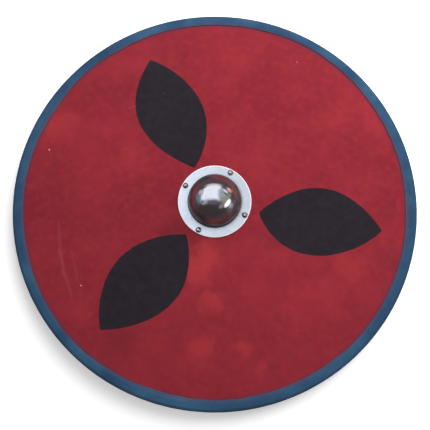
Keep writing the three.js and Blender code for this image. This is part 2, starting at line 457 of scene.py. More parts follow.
# 1 where the leaves are painted, with a hand-painted edge
def leafMask(tree, groups, flat):
    inside = -1.0
    for leaf in leaves:
        inner, outer = pictureSpot(*leaf["inner"]), pictureSpot(*leaf["outer"])
        along = (outer - inner).normalized()
        sides = leaf["left"], leaf["right"]
        left, right = [Vector((bulge * mm, ends, lean)) for bulge, ends, lean in sides]
        shape = useGroup(tree, groups["leaf"], {
            "Place": flat, "Middle": (inner + outer) / 2, "Along": along,
            "Across": Vector((-along.y, along.x, 0)), "Half Length": (outer - inner).length / 2,
            "Left Side": left, "Right Side": right})["Inside"]
        inside = calc(tree, "MAXIMUM", inside, shape)
    wander = strayBy(tree, flat, leafBrush["wanderScale"], 1.0, leafBrush["wander"])
    shake = strayBy(tree, flat, leafBrush["shakeScale"], 2.0, leafBrush["shake"])
    edge = calc(tree, "ADD", inside, calc(tree, "ADD", wander, shake))
    return spread(tree, edge, -leafBrush["edge"], leafBrush["edge"], smooth=True)


# red paint: in this and the other looks, a fade is from, to and the strength at each
redPaint = {
    "deep": shade(114, 29, 38),
    "pale": shade(136, 35, 44),
    "crimson": shade(119, 27, 41),
    "warm": shade(140, 38, 44),
    "thin": shade(166, 50, 54),
    "dark": shade(88, 24, 33),
    # painted shade: the red is darker toward the bottom of the picture
    "lowShade": shade(104, 24, 34),
    "bled": shade(92, 40, 58),
    "leaf": shade(28, 22, 28),
    "leafPale": shade(34, 28, 34),
    "chip": shade(205, 150, 140),
    "scuff": shade(168, 84, 88),
    "broadScale": 9.0,
    "middleScale": 24.0,
    "middleShift": (0.7, 0.3, 0.0),
    "smallScale": 75.0,
    "crimsonShare": 0.7,
    "warmFade": (0.35, 1.0, 0.0, 0.55),
    "lowShadeToward": (0.1, -1.0),
    "lowShadeFade": (0.0, 0.4, 0.0, 0.12),
    "bledFade": (379 * mm, 388 * mm, 0.0, 0.85),
    "bledUneven": (0.2, 0.8, 0.6, 1.0),
    "scuffs": 0.05,
    "roughness": (0.0, 1.0, 0.68, 0.6),
    "shine": 0.2,
    "bump": (0.12 * mm, 0.5),
}
# patches where the paint lies thinner or thicker, and chips seen in it:
# distance in mm and turn in the picture, size in mm, strength
thinPatches = [
    (108, -98, 38, 0.60), (152, -104, 34, 0.50), (202, -91, 30, 0.45), (290, -95, 30, 0.35),
    (295, -79, 30, 0.38), (342, -75, 20, 0.25), (258, -51, 40, 0.22), (284, -40, 44, 0.20),
    (300, -27, 40, 0.25), (322, 35, 40, 0.12), (370, 27, 36, 0.14), (366, 153, 52, 0.38),
    (187, 152, 46, 0.22), (340, -141, 36, 0.15),
]
darkPatches = [
    (112, -144, 34, 0.42), (140, -33, 30, 0.28), (86, 179, 30, 0.15), (372, -18, 40, 0.26),
    (313, -125, 34, 0.28), (352, -122, 44, 0.26), (324, 111, 34, 0.14), (370, -38, 40, 0.18),
    (303, -173, 50, 0.12),
]
paintChips = [(358, 162.3, 2.6, 1.0), (349.5, 60.0, 2.2, 0.45), (313.5, -147.2, 2.6, 0.75),
              (256, 114.6, 1.5, 0.2)]
# scratches and streaks: both ends as distance in mm and turn in the picture, width in mm
scratches = [
    {"from": (317, -172), "to": (324, -162.1), "width": 4.0, "strength": 0.10},
    {"from": (324, -162.1), "to": (331, -155.1), "width": 4.5, "strength": 0.17},
    {"from": (331, -155.1), "to": (340, -145.5), "width": 4.0, "strength": 0.14},
    {"from": (303, -160), "to": (313, -150), "width": 4.0, "strength": 0.08},
    {"from": (268, 132), "to": (262, 128), "width": 3.0, "strength": 0.14},
]
darkStreaks = [
    {"from": (310, -57.5), "to": (333, -55.8), "width": 3.0, "strength": 0.3},
    {"from": (352, -94.5), "to": (360, -92.6), "width": 3.0, "strength": 0.3},
]
# how uneven their edges are, and where a patch or chip of a given size fades
markEdges = {
    "patch": {"bendScale": 30.0, "bend": 60 * mm, "fade": (0.2, 1.2)},
    "scratch": {"bendScale": 90.0, "bend": 9 * mm},
    "chip": {"raggedScale": 420.0, "ragged": 1.5 * mm, "fade": (0.4, 0.75)},
}


def patchMask(tree, flat, patches):
    edge = markEdges["patch"]
    low, high = edge["fade"]
    bent = bentPlace(tree, flat, edge["bendScale"], edge["bend"])
    total = 0.0
    for distance, turn, size, strength in patches:
        away = calcPlace(tree, "DISTANCE", bent, pictureSpot(distance, turn))
        patch = spread(tree, away, low * size * mm, high * size * mm, strength, 0.0, smooth=True)
        total = calc(tree, "ADD", total, patch)
    return total


def chipMask(tree, flat):
    edge = markEdges["chip"]
    low, high = edge["fade"]
    ragged = strayBy(tree, flat, edge["raggedScale"], 2.0, edge["ragged"])
    total = 0.0
    for distance, turn, size, strength in paintChips:
        away = calcPlace(tree, "DISTANCE", flat, pictureSpot(distance, turn))
        away = calc(tree, "ADD", away, ragged)
        chip = spread(tree, away, low * size * mm, high * size * mm, strength, 0.0)
        total = calc(tree, "MAXIMUM", total, chip)
    return total


# 1 on a line between two places, fading off to its sides
def makeScratchGroup():
    inputs = {"Place": None, "Start": None, "Run": None, "Width": 0.002}
    group, given, out = newGroup("paintScratch", inputs, ["Mask"])
    off = calcPlace(group, "SUBTRACT", given["Place"], given["Start"])
    along = calcPlace(group, "DOT_PRODUCT", off, given["Run"])
    whole = calcPlace(group, "DOT_PRODUCT", given["Run"], given["Run"])
    share = calc(group, "DIVIDE", along, whole, clamp=True)
    away = calcPlace(group, "DISTANCE", off, scaled(group, given["Run"], share))
    half = times(group, given["Width"], 0.5)
    feed(group, out, {"Mask": spread(group, away, half, given["Width"], 1.0, 0.0, smooth=True)})
    return group


def scratchMask(tree, groups, flat, lines):
    edge = markEdges["scratch"]
    bent = bentPlace(tree, flat, edge["bendScale"], edge["bend"])
    total = 0.0
    for line in lines:
        start, end = pictureSpot(*line["from"]), pictureSpot(*line["to"])
        mask = useGroup(tree, groups["scratch"], {
            "Place": bent, "Start": start, "Run": end - start, "Width": line["width"] * mm})["Mask"]
        total = calc(tree, "MAXIMUM", total, times(tree, mask, line["strength"]))
    return total


def makeRedFace(groups):
    material, tree, place = newMaterial("redBoardPaint")
    paint = redPaint
    flat = flatPlace(tree, place)
    shifted = calcPlace(tree, "ADD", place, paint["middleShift"])
    broad = patchesAt(tree, groups, place, paint["broadScale"], 2.0)["Patches"]
    middling = patchesAt(tree, groups, shifted, paint["middleScale"], 4.0)["Patches"]
    small = patchesAt(tree, groups, place, paint["smallScale"], 4.0)
    patches = small["Patches"]
    scuffs = useGroup(tree, groups["scuffs"], {"Place": place, "Amount": paint["scuffs"]})["Scuffs"]
    # the edging's blue has been brushed a little over the red
    bled = fade(tree, calcPlace(tree, "LENGTH", flat), paint["bledFade"])
    bled = times(tree, bled, spread(tree, patches, *paint["bledUneven"]))
    red = layered(
        tree, paint["deep"], paint,
        (broad, "pale"),
        (times(tree, middling, paint["crimsonShare"]), "crimson"),
        (spread(tree, patches, *paint["warmFade"]), "warm"),
        # painted shade, darker toward the bottom of the picture
        (fade(tree, reach(tree, flat, *paint["lowShadeToward"]), paint["lowShadeFade"]), "lowShade"),
        (patchMask(tree, flat, thinPatches), "thin"),
        (patchMask(tree, flat, darkPatches), "dark"),
        (scratchMask(tree, groups, flat, darkStreaks), "dark"),
        (bled, "bled"),
        (scuffs, "scuff"),
        (scratchMask(tree, groups, flat, scratches), "scuff"))
    leaf = mixColour(tree, patches, paint["leaf"], paint["leafPale"])
    face = mixColour(tree, leafMask(tree, groups, flat), red, leaf)
    face = mixColour(tree, chipMask(tree, flat), face, paint["chip"])
    feeds = {"Base Color": face, "Roughness": spread(tree, broad, *paint["roughness"]),
             "Specular IOR Level": paint["shine"]}
    return finishLook(material, feeds, small["Grit"], paint["bump"])


# wood: the board's bare back, darker where hands and the arm rub it, and the oiled grip
bareWood = {
    "light": shade(196, 160, 112),
    "dark": shade(150, 112, 70),
    "fibre": shade(120, 86, 52),
    "fibreShare": 0.35,
    "grainScale": 1.0,
    "patchScale": 9.0,
    "patchShare": 0.3,
    "handledFade": (70 * mm, 190 * mm, 0.45, 0.0),
    "roughness": (0.0, 1.0, 0.55, 0.75),
    "bump": (0.2 * mm, 0.6),
}
gripWood = {
    "light": shade(168, 122, 76),
    "dark": shade(126, 84, 48),
    "fibre": shade(84, 54, 32),
    "fibreShare": 0.4,
    "grainScale": 2.2,
    "patchScale": 25.0,
    "handledFade": (30 * mm, 58 * mm, 0.75, 0.0),
    "handledUneven": (0.0, 1.0, 0.5, 1.0),
    "roughness": (0.0, 0.75, 0.6, 0.36),
    "bump": (0.15 * mm, 0.5),
}


def startWood(name, groups, wood):
    material, tree, place = newMaterial(name)
    grain = useGroup(tree, groups["grain"], {"Place": place, "Scale": wood["grainScale"]})
    patches = patchesAt(tree, groups, place, wood["patchScale"])["Patches"]
    tone = layered(tree, wood["light"], wood, (grain["Figure"], "dark"),
                   (times(tree, grain["Fibres"], wood["fibreShare"]), "fibre"))
    return material, tree, place, grain["Fibres"], patches, tone


def makeBareWood(groups):
    wood = bareWood
    material, tree, place, fibres, patches, tone = startWood("bareBoardWood", groups, wood)
    handled = fade(tree, calcPlace(tree, "LENGTH", flatPlace(tree, place)), wood["handledFade"])
    tone = layered(tree, tone, wood, (times(tree, patches, wood["patchShare"]), "dark"),
                   (times(tree, handled, patches), "fibre"))
    feeds = {"Base Color": tone, "Roughness": spread(tree, fibres, *wood["roughness"])}
    return finishLook(material, feeds, fibres, wood["bump"])


def makeGripWood(groups):
    wood = gripWood
    material, tree, place, fibres, patches, tone = startWood("oiledGripWood", groups, wood)
    held = fade(tree, calc(tree, "ABSOLUTE", partsOf(tree, place)["Y"]), wood["handledFade"])
    held = times(tree, held, spread(tree, patches, *wood["handledUneven"]))
    tone = layered(tree, tone, wood, (held, "fibre"))
    feeds = {"Base Color": tone, "Roughness": spread(tree, held, *wood["roughness"])}
    return finishLook(material, feeds, fibres, wood["bump"])


# blue edging paint: fades are out from the edging's inner edge, in from its outer one, or up the picture
bluePaint = {
    "deep": shade(31, 59, 86),
    "pale": shade(45, 81, 109),
    # red lapped on the strip, with a painted highlight of its cut edge
    "lapAndSheen": shade(74, 62, 80),
    # painted sheen on the rounded outer edge
    "edge": shade(40, 56, 72),
    "worn": shade(104, 126, 146),
    "leather": shade(88, 78, 72),
    "broadScale": 14.0,
    "smallScale": 90.0,
    "deepFade": (0.5, 1.0, 0.0, 0.3),
    "scuffs": 0.15,
    "lapAndSheenFade": (-1 * mm, 8 * mm, 0.85, 0.0),
    "lapAndSheenUneven": (0.1, 0.9, 0.7, 1.0),
    "lapAndSheenUp": (-350 * mm, 0.0, 0.65, 1.0),
    "edgeSheenFade": (-8 * mm, -2 * mm, 0.0, 0.85),
    "edgeSheenUp": (-300 * mm, 300 * mm, 0.5, 1.0),
    "rubbedFade": (-2 * mm, -0.4 * mm, 0.0, 0.6),
    "rubbedSpots": (0.68, 0.88),
    "roughness": (0.0, 1.0, 0.7, 0.56),
    "shine": 0.25,
    "poreScale": 620.0,
    "bump": (0.25 * mm, 0.45),
}


def makeBlueEdging(groups):
    material, tree, place = newMaterial("blueEdgingPaint")
    paint = bluePaint
    broad = patchesAt(tree, groups, place, paint["broadScale"])["Patches"]
    small = patchesAt(tree, groups, place, paint["smallScale"], 4.0)
    patches = small["Patches"]
    scuffs = useGroup(tree, groups["scuffs"], {"Place": place, "Amount": paint["scuffs"]})["Scuffs"]
    radius = calcPlace(tree, "LENGTH", flatPlace(tree, place))
    pastInner = calc(tree, "SUBTRACT", radius, shieldRadius - edgingShape["width"])
    pastOuter = calc(tree, "SUBTRACT", radius, shieldRadius)
    upPicture = reach(tree, place, 0.0, 1.0)
    # the board's red laps a little over the strip's thin edge, with a painted highlight where that cut edge
    # catches the light, stronger up the picture
    lapAndSheen = times(
        tree, fade(tree, pastInner, paint["lapAndSheenFade"]), spread(tree, patches, *paint["lapAndSheenUneven"]),
        spread(tree, upPicture, *paint["lapAndSheenUp"]),
        spread(tree, partsOf(tree, place)["Z"], boardFace, boardFace + airGap))
    # painted sheen greys the rounded outer edge, stronger up the picture, and the paint is rubbed off to the
    # leather where the edge bumps into things
    edgeSheen = spread(tree, pastOuter, *paint["edgeSheenFade"])
    edgeSheen = times(tree, edgeSheen, spread(tree, upPicture, *paint["edgeSheenUp"]))
    rubbed = spread(tree, pastOuter, *paint["rubbedFade"])
    rubbed = times(tree, rubbed, spread(tree, patches, *paint["rubbedSpots"]))
    blue = layered(
        tree, paint["deep"], paint, (broad, "pale"), (spread(tree, patches, *paint["deepFade"]), "deep"),
        (scuffs, "worn"), (lapAndSheen, "lapAndSheen"), (edgeSheen, "edge"), (rubbed, "leather"))
    feeds = {"Base Color": blue, "Roughness": spread(tree, broad, *paint["roughness"]),
             "Specular IOR Level": paint["shine"]}
    pores = add(tree, "ShaderNodeTexVoronoi", {"Vector": place, "Scale": paint["poreScale"]})
    height = calc(tree, "ADD", pores.outputs["Distance"], small["Grit"])
    return finishLook(material, feeds, height, paint["bump"])


# boss steel: fades are above the flange, out from the dome or rivet, in from the flange's edge,
# or toward a side of the picture
bossLook = {
    "flange": (0.74, 0.78, 0.83, 1.0),
    # painted shade on the flange, with smudges
    "flangeShadeAndSmudge": (0.53, 0.55, 0.58, 1.0),
    "dome": (0.66, 0.65, 0.64, 1.0),
    # tarnish with painted shade on the dome's lower wall
    "domeTarnishShade": (0.105, 0.096, 0.10, 1.0),
    "domeSmear": (0.40, 0.39, 0.40, 1.0),
    # painted shade near the dome's foot
    "footShade": (0.27, 0.25, 0.26, 1.0),
    # painted shade in the creases at the dome's foot and round the rivets
    "creviceShade": (0.035, 0.028, 0.028, 1.0),
    "grazing": (0.2, 0.2, 0.21, 1.0),
    # painted highlight along the flange's rubbed outer edge
    "rubbed": (0.92, 0.87, 0.88, 1.0),
    "domeStart": (0.3 * mm, 2.0 * mm),
    "flangeShadeToward": (0.9, 0.5),
    "flangeShadeSide": (-60 * mm, 70 * mm, 0.0, 0.75),
    "dullSmears": 0.3,
    "footFade": (0.0, 8 * mm, 0.6, 0.0),
    "footToward": (0.95, 0.3),
    "footSide": (-20 * mm, 50 * mm, 0.2, 1.0),
    "blotchScale": 38.0,
    "blotches": 13 * mm,
    "tarnishShadeFade": (20 * mm, 49 * mm, 0.96, 0.0),
    "tarnishSmears": (0.0, 1.0, 0.7, 1.0),
    "cleanFade": (6 * mm, 27 * mm, 1.0, 0.0),
    "cleanLeast": 0.25,
    "cleanMore": {(-1.0, 0.05): 0.45, (0.9, -0.44): 0.25},
    "cleanSide": (30 * mm, 52 * mm),
    "smearFade": (0.45, 1.0, 0.0, 0.3),
    "creaseShadeOut": 0.2 * mm,
    "creaseShadeFade": (0.2 * mm, 1.0 * mm, 0.85, 0.0),
    "creaseShadeTop": (4 * mm, 8 * mm, 1.0, 0.0),
    "creaseShadeToward": (-0.8, -0.6),
    "creaseShadeSide": (-50 * mm, 40 * mm, 0.35, 1.0),
    "rivetShadeRing": (5.2 * mm, 6.6 * mm, 0.92, 0.0),
    "rubbedFade": (-1.9 * mm, -0.9 * mm),
    "metallic": (0.0, 1.0, 0.75, 0.99),
    "dullMetal": (22 * mm, 45 * mm, 0.14, 0.0),
    "rubbedHighlightMetal": 0.35,
    "polished": (0.0, 1.0, 0.06, 0.12),
    "tarnished": 0.32,
    "satin": (0.0, 1.0, 0.3, 0.46),
    "bump": (0.02 * mm, 0.35),
}


def makeBossSteel(groups, plan):
    material, tree, place = newMaterial("bossSteel")
    look = bossLook
    marks = useGroup(tree, groups["steel"], {"Place": place})
    smears = marks["Smears"]
    flat = flatPlace(tree, place)
    radius = calcPlace(tree, "LENGTH", flat)
    pastDome = calc(tree, "SUBTRACT", radius, plan["domeRadius"])
    above = calc(tree, "SUBTRACT", partsOf(tree, place)["Z"], plan["flangeTop"])
    onDome = spread(tree, above, *look["domeStart"])
    # painted shade darkens the flange toward the upper right of the picture, with smudges, and more painted
    # shade near the dome's foot on the right
    shadeAndSmudge = spread(tree, reach(tree, flat, *look["flangeShadeToward"]), *look["flangeShadeSide"])
    shadeAndSmudge = calc(tree, "ADD", shadeAndSmudge, times(tree, smears, look["dullSmears"]), clamp=True)
    foot = spread(tree, reach(tree, flat, *look["footToward"]), *look["footSide"])
    foot = times(tree, fade(tree, pastDome, look["footFade"]), foot)
    flange = layered(tree, look["flange"], look, (shadeAndSmudge, "flangeShadeAndSmudge"), (foot, "footShade"))
    # the dome darkens toward its foot, tarnish with painted shade for its darker reflections there; it ends
    # unevenly up the dome, and is rubbed off right above the flange, most at two sides
    uneven = calc(tree, "ADD", above, strayBy(tree, place, look["blotchScale"], 3.0, look["blotches"]))
    amount = look["cleanLeast"]
    for toward, more in look["cleanMore"].items():
        side = spread(tree, reach(tree, flat, *toward), *look["cleanSide"], 0.0, more, smooth=True)
        amount = calc(tree, "ADD", amount, side)
    cleaner = times(tree, fade(tree, uneven, look["cleanFade"]), amount)
    tarnishAndShade = calc(tree, "SUBTRACT", fade(tree, uneven, look["tarnishShadeFade"]), cleaner, clamp=True)
    tarnishAndShade = times(tree, tarnishAndShade, spread(tree, smears, *look["tarnishSmears"]))
    dome = layered(tree, look["dome"], look, (spread(tree, smears, *look["smearFade"]), "domeSmear"),
                   (tarnishAndShade, "domeTarnishShade"))
    # painted shade in the corner at the dome's foot, stronger toward the lower left, and round the rivets,
    # and a painted highlight along the flange's rubbed outer edge
    away = calc(tree, "ABSOLUTE", calc(tree, "SUBTRACT", pastDome, look["creaseShadeOut"]))
    creaseShade = times(
        tree, fade(tree, away, look["creaseShadeFade"]), spread(tree, above, *look["creaseShadeTop"]),
        spread(tree, reach(tree, flat, *look["creaseShadeToward"]), *look["creaseShadeSide"]))
    gone = [calcPlace(tree, "DISTANCE", flat, (spot.x, spot.y, 0)) for spot in rivetSpots]
    rings = [(fade(tree, distance, look["rivetShadeRing"]), "creviceShade") for distance in gone]
    # painted highlight along the rubbed outer edge of the flange
    rubbed = spread(tree, calc(tree, "SUBTRACT", radius, plan["flangeRadius"]), *look["rubbedFade"])
    steel = mixColour(tree, onDome, flange, dome)
    steel = layered(tree, steel, look, (creaseShade, "creviceShade"), *rings, (rubbed, "rubbed"))
    # the tarnished, painted-shade foot of the dome and the painted highlight along the flange's rubbed edge
    # mirror less than clean steel
    metal = spread(tree, onDome, *look["metallic"])
    metal = calc(tree, "SUBTRACT", metal, times(tree, onDome, fade(tree, uneven, look["dullMetal"])))
    metal = calc(tree, "SUBTRACT", metal, times(tree, rubbed, look["rubbedHighlightMetal"]))
    polished = spread(tree, smears, *look["polished"])
    polished = calc(tree, "ADD", polished, times(tree, tarnishAndShade, look["tarnished"]))
    satin = spread(tree, marks["Rubbing"], *look["satin"])
    rough = add(tree, "ShaderNodeMix", {0: onDome, 2: satin, 3: polished}).outputs[0]
    feeds = {"Base Color": steel, "Metallic": metal, "Roughness": rough, "Specular Tint": look["grazing"]}
    return finishLook(material, feeds, marks["Rubbing"], look["bump"])


insideLook = {
    "steel": (0.30, 0.29, 0.28, 1.0),
    "rust": (0.16, 0.09, 0.06, 1.0),
    "rustFade": (0.55, 0.9, 0.0, 0.7),
    "metallic": 0.85,
    "roughness": (0.0, 1.0, 0.42, 0.62),
    "bump": (0.2 * mm, 0.5),
}


def makeInsideSteel(groups):
    material, tree, place = newMaterial("dullInsideSteel")
    look = insideLook
    smears = useGroup(tree, groups["steel"], {"Place": place})["Smears"]
    steel = layered(tree, look["steel"], look, (spread(tree, smears, *look["rustFade"]), "rust"))
    feeds = {"Base Color": steel, "Metallic": look["metallic"],
             "Roughness": spread(tree, smears, *look["roughness"])}
    return finishLook(material, feeds, smears, look["bump"])


# rivet steel: fades are above the head's underside, so the hammered tails behind are duller
rivetLook = {
    "bright": (0.72, 0.67, 0.64, 1.0),
    "smeared": (0.46, 0.41, 0.38, 1.0),
    # painted shade round the foot of the head
    "headFootShade": (0.035, 0.028, 0.028, 1.0),
    "metallic": (-12 * mm, -4 * mm, 0.7, 1.0),
    "headFootShadeFade": (0.4 * mm, 2.2 * mm, 0.95, 0.0),
    "headStart": (-1.5 * mm, -0.5 * mm),
    "roughness": (0.0, 1.0, 0.14, 0.3),
    "bump": (0.15 * mm, 0.4),
}


def makeRivetSteel(groups, headBottom):
    material, tree, place = newMaterial("rivetSteel")
    look = rivetLook
    marks = useGroup(tree, groups["steel"], {"Place": place})
    above = calc(tree, "SUBTRACT", partsOf(tree, place)["Z"], headBottom)
    # painted shade on the head's lower side, where it meets the flange
    headFootShade = times(tree, fade(tree, above, look["headFootShadeFade"]), spread(tree, above, *look["headStart"]))
    steel = layered(tree, look["bright"], look, (marks["Smears"], "smeared"), (headFootShade, "headFootShade"))
    feeds = {"Base Color": steel, "Metallic": spread(tree, above, *look["metallic"]),
             "Roughness": spread(tree, marks["Rubbing"], *look["roughness"])}
    return finishLook(material, feeds, marks["Smears"], look["bump"])


# mesh helpers: an open run of edges through points of radius and height, on from a vertex if given
def addWire(bm, points, start=None):
    run = [bm.verts.new((across, 0, up)) for across, up in points]
    whole = run if start is None else [start] + run
    for first, second in zip(whole, whole[1:]):
        bm.edges.new((first, second))
    return run


def roundCorners(bm, corners, size, steps):
    bmesh.ops.bevel(bm, geom=corners, offset=size, offset_type="OFFSET", segments=steps, profile=0.5,
                    affect="VERTICES", clamp_overlap=True, material=-1)


def splitLongEdges(bm, least, cuts):
    longEdges = [e for e in bm.edges if e.calc_length() > least]
    bmesh.ops.subdivide_edges(bm, edges=longEdges, cuts=cuts)


# a quarter round from the crown down to a level, swung from one vertex, then brought to its rise
def swingDome(bm, level, radius, rise, steps):
    crown = bm.verts.new((0, 0, level + radius))
    swung = bmesh.ops.spin(bm, geom=[crown], cent=(0, 0, level), axis=(0, 1, 0), dvec=(0, 0, 0),
                           angle=fullTurn / 4, steps=steps, use_merge=False,
                           use_normal_flip=False, use_duplicate=False)
    for v in bm.verts:
        v.co.z = level + (v.co.z - level) * rise / radius
    return [g for g in swung["geom_last"] if isinstance(g, bmesh.types.BMVert)][0]


def spinRound(bm, steps):
    bmesh.ops.spin(bm, geom=bm.verts[:] + bm.edges[:], cent=(0, 0, 0), axis=(0, 0, 1), dvec=(0, 0, 0),
                   angle=fullTurn, steps=steps, use_merge=True, use_normal_flip=False, use_duplicate=False)
    bmesh.ops.remove_doubles(bm, verts=bm.verts[:], dist=0.01 * mm)
    bmesh.ops.recalc_face_normals(bm, faces=bm.faces[:])


def meshOf(name, bm):
    mesh = bpy.data.meshes.new(name)
    bm.to_mesh(mesh)
    bm.free()
    return mesh


def finishPiece(name, bm, materials, node, sharpAngle=38):
    mesh = meshOf(name, bm)
    for material in materials:
        mesh.materials.append(material)
    mesh.shade_smooth()
    mesh.set_sharp_from_angle(angle=math.radians(sharpAngle))
    piece = newObject(name, mesh)
    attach(piece, "root")
    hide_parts(node)
    print(f"made {name}: {len(mesh.polygons)} faces")
    return piece


# drills the rivet holes through a finished piece
def drillHoles(piece, spots, low, high):
    bm = bmesh.new()
    for spot in spots:
        place = Matrix.Translation((spot.x, spot.y, (low + high) / 2))
        bmesh.ops.create_cone(bm, cap_ends=True, segments=24, radius1=rivetHoleRadius,
                              radius2=rivetHoleRadius, depth=high - low, matrix=place)
    drill = newObject("drill", meshOf("drill", bm))
    cut = piece.modifiers.new("rivetHoles", "BOOLEAN")
    cut.object = drill
    cut.operation = "DIFFERENCE"
    cut.solver = "EXACT"
    drilled = bpy.data.meshes.new_from_object(piece.evaluated_get(bpy.context.evaluated_depsgraph_get()))
    piece.modifiers.remove(cut)
    plain, drillMesh = piece.data, drill.data
    piece.data = drilled
    drilled.name = piece.name
    bpy.data.meshes.remove(plain)
    bpy.data.objects.remove(drill)
    bpy.data.meshes.remove(drillMesh)


# board: one wooden disc, a little uneven
boardShape = {"steps": 256, "holeRadius": 51.2 * mm, "edgeRound": 5 * mm, "holeRound": 1.6 * mm,
              "unevenness": 0.22 * mm, "waves": 9.0, "smallWaves": 30.0, "rings": 26,
              "holeWander": 0.006, "holeWaves": 25.0, "paintDepth": 1.2 * mm}


def makeBoard(looks):
    bm = bmesh.new()
    plan = boardShape
    hole = plan["holeRadius"]
    corners = addWire(bm, [(hole, boardBack), (boardRadius, boardBack), (boardRadius, boardFace),
                           (hole, boardFace)])
    bm.edges.new((corners[3], corners[0]))
    roundCorners(bm, corners[1:3], plan["edgeRound"], 4)
    roundCorners(bm, [v for v in bm.verts if abs(v.co.x - hole) < 0.01 * mm], plan["holeRound"], 3)
    splitLongEdges(bm, 100 * mm, plan["rings"])
    spinRound(bm, plan["steps"])
    for v in bm.verts:
        lift = noise.noise(v.co * plan["waves"]) + 0.4 * noise.noise(v.co * plan["smallWaves"])
        if v.co.z > boardFace - 0.2 * mm:
            v.co.z -= plan["unevenness"] * (0.6 + 0.6 * lift)
        if v.co.xy.length < hole + 1 * mm:
            v.co.xy *= 1 + plan["holeWander"] * noise.noise(v.co * plan["holeWaves"])
    for face in bm.faces:
        painted = face.normal.z > 0.3 and face.calc_center_median().z > boardFace - plan["paintDepth"]
        face.material_index = 0 if painted else 1
    board = finishPiece("paintedBoard", bm, [looks["redFace"], looks["bareWood"]], "board")
    drillHoles(board, rivetSpots, boardBack - 2 * mm, boardFace + 2 * mm)


# edging: a leather strip folded round the board's edge, pared thin towards its cut edges
# its front edge was cut by hand: how far it strays outward every 15 degrees round the picture, in mm
edgingShape = {
    "steps": 480, "width": 22.5 * mm, "thickness": 2 * mm, "skived": 0.8 * mm, "skiveRun": 7 * mm,
    "bendRun": 9 * mm, "skin": 0.6 * mm, "wander": 0.6 * mm, "wanderWaves": 19.0,
    "ripple": 0.22 * mm, "rippleWaves": 30.0, "rippleShift": 60,
    "strays": [-2, -0.5, -0.5, 1.5, 3, 1.5, 0.5, 0.5, -0.5, 2, -2, 0,
               0, -1, 1, 2, -0.5, -3, -1, -1.5, -1.5, 0.5, -0.5, -0.5],
}


# smooth noise round the shield, about -1 to 1
def roundNoise(angle, waves, seed):
    return 1.6 * noise.noise(Vector((math.cos(angle) * waves, math.sin(angle) * waves, seed)))


# how far the strip's front edge strays outward at a turn in the picture
def strayAt(turn):
    strays = edgingShape["strays"]
    step = (turn % fullTurn) / fullTurn * len(strays)
    first = int(step) % len(strays)
    share = 0.5 - 0.5 * math.cos(math.pi * (step - int(step)))
    return strays[first] * (1 - share) + strays[(first + 1) % len(strays)] * share


def makeEdging(looks):
    bm = bmesh.new()
    plan = edgingShape
    inner = shieldRadius - plan["width"]
    low, high = edgingBox[0].z, edgingBox[1].z
    middle = (low + high) / 2
    run = addWire(bm, [(inner, high), (shieldRadius, high), (shieldRadius, low), (inner, low)])
    roundCorners(bm, run[1:3], boardShape["edgeRound"] + airGap + plan["thickness"], 9)
    splitLongEdges(bm, 10 * mm, 6)
    spinRound(bm, plan["steps"])
    if sum(f.normal.z for f in bm.faces if f.calc_center_median().z > high - 0.1 * mm) < 0:
        bmesh.ops.reverse_faces(bm, faces=bm.faces[:])
    bmesh.ops.solidify(bm, geom=bm.faces[:], thickness=plan["thickness"])
    bmesh.ops.recalc_face_normals(bm, faces=bm.faces[:])
    for v in bm.verts:
        radius = v.co.xy.length
        angle = math.atan2(v.co.y, v.co.x)
        side = 1 if v.co.z > middle else -1
        onFlat = radius < shieldRadius - plan["bendRun"]
        onSkin = (abs(v.co.z - middle) > (high - low) / 2 - plan["skin"]
                  or radius > shieldRadius - plan["skin"])
        if onFlat and onSkin:
            share = min(1.0, (radius - inner) / plan["skiveRun"])
            v.co.z -= side * (1 - share) * (plan["thickness"] - plan["skived"])
        if onFlat:
            share = 1 - (radius - inner) / (plan["width"] - plan["bendRun"])
            radius += share * plan["wander"] * roundNoise(angle, plan["wanderWaves"], 8.0 + side)
            if side > 0:
                radius += share * mm * strayAt(angle - pictureTurn)
        if onSkin:
            uneven = roundNoise(angle, plan["rippleWaves"], v.co.z * plan["rippleShift"])
            ripple = plan["ripple"] * (0.5 + 0.5 * uneven)
            radius -= ripple * (0.0 if onFlat else 1.0)
            v.co.z -= side * 0.5 * ripple
        flat = Vector((math.cos(angle), math.sin(angle))) * radius
        v.co.x, v.co.y = flat.x, flat.y
    finishPiece("blueEdging", bm, [looks["blueEdging"]], "rim_edging", 60)


# boss: a dome with a rounded neck and a flat flange
bossShape = {"steps": 160, "domeRadius": 54 * mm, "domeSteps": 44, "neckRound": 2 * mm, "wall": 2 * mm,
             "edgeRound": 0.7 * mm, "hammer": 0.10 * mm, "beats": 48.0, "smallBeats": 120.0,
             "ringsOut": (4.5 * mm, 12 * mm), "ringIn": 1.4 * mm, "rubbedHighlightRun": 1.2 * mm}


